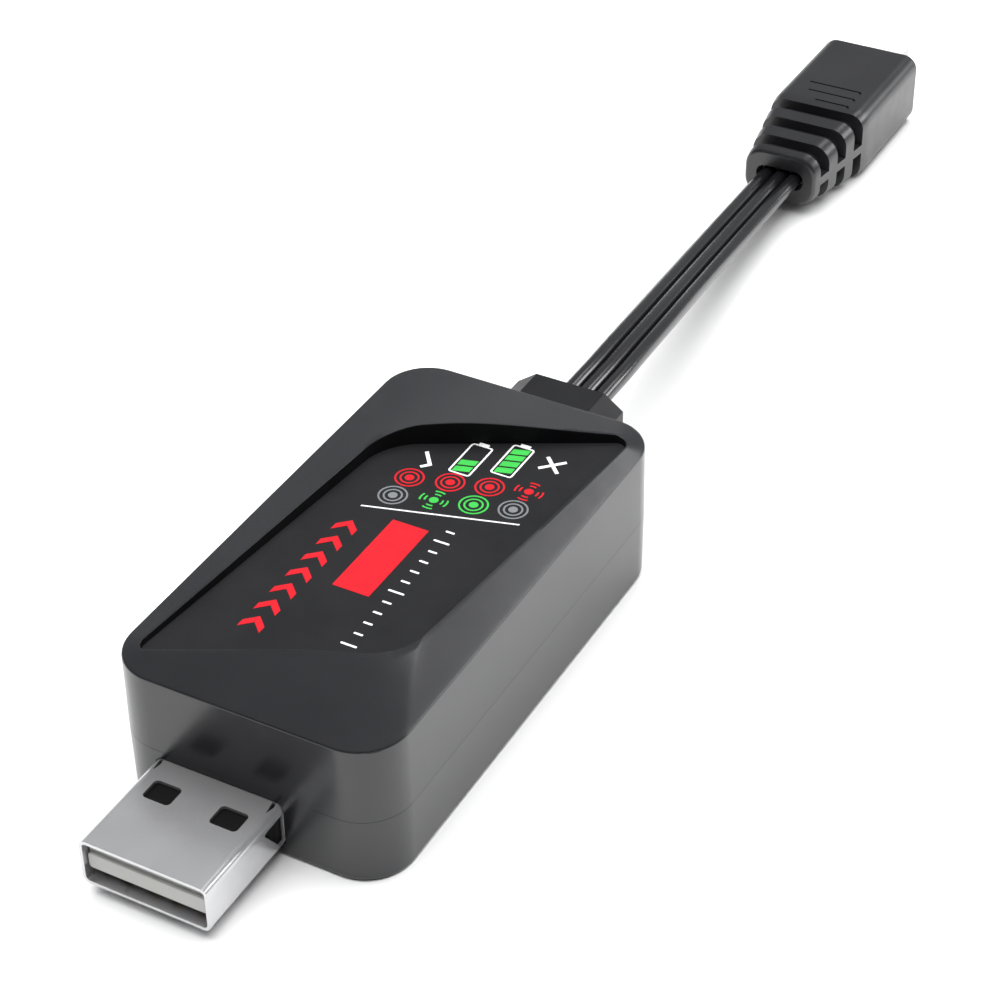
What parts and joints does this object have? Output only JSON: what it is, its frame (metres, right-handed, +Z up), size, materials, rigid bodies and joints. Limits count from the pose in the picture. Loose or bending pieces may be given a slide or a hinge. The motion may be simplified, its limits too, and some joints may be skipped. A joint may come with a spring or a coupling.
{
  "type": "balance battery charger",
  "caption": "Pocket USB balance charger: flat two-shell housing with a USB-A plug at one end and a short flat cable to a battery balance connector at the other.",
  "frame": {"origin": "middle of the housing's underside, on the surface that it lies on", "axes": "+Z up out of the label; -Y the way the USB plug points; +Y the way the cable leaves; +X across the width"},
  "size_m": [0.026, 0.1542, 0.0163],
  "materials": {
    "black_shell_plastic": "satin moulded, fine texture",
    "label_film": "matt printed film",
    "plug_steel": "nickel-plated, drawn sheet",
    "grey_insulator": "moulded",
    "gold_contact": "gold flash",
    "board_laminate": "solder mask",
    "chip_plastic": "moulded",
    "tinned_lead": "tin-plated",
    "ferrite": "sintered",
    "copper": "enamelled or bare copper",
    "can_aluminium": "drawn can",
    "ceramic_tan": "fired ceramic",
    "red_lens": "tinted epoxy",
    "green_lens": "tinted epoxy",
    "solder": "bright",
    "wire_insulation": "semi-gloss",
    "black_overmould": "satin soft plastic",
    "white_nylon": "moulded"
  },
  "bodies": {
    "root": {"bottom_housing": "black_shell_plastic", "top_housing": "black_shell_plastic", "label": "label_film", "usb_shell": "plug_steel", "usb_insulator": "grey_insulator", "usb_contacts": "gold_contact", "circuit_board": "board_laminate", "charge_controller": "chip_plastic", "balance_controller": "chip_plastic", "controller_leads": "tinned_lead", "inductor_core": "ferrite", "inductor_coil": "copper", "bulk_capacitor": "can_aluminium", "rectifier_diodes": "chip_plastic", "balance_transistors": "chip_plastic", "bleed_resistors": "chip_plastic", "chip_resistors": "chip_plastic", "ceramic_capacitors": "ceramic_tan", "red_status_led": "red_lens", "green_status_led": "green_lens", "led_leads": "tinned_lead", "cable_gland": "black_overmould", "inner_wires": "wire_insulation", "wire_cores": "copper", "solder_joints": "solder", "cable_wire_left": "wire_insulation", "cable_wire_middle": "wire_insulation", "cable_wire_right": "wire_insulation", "connector_body": "black_overmould", "connector_nose": "white_nylon", "connector_contacts": "gold_contact", "connector_leads": "wire_insulation"}
  },
  "joints": []
}
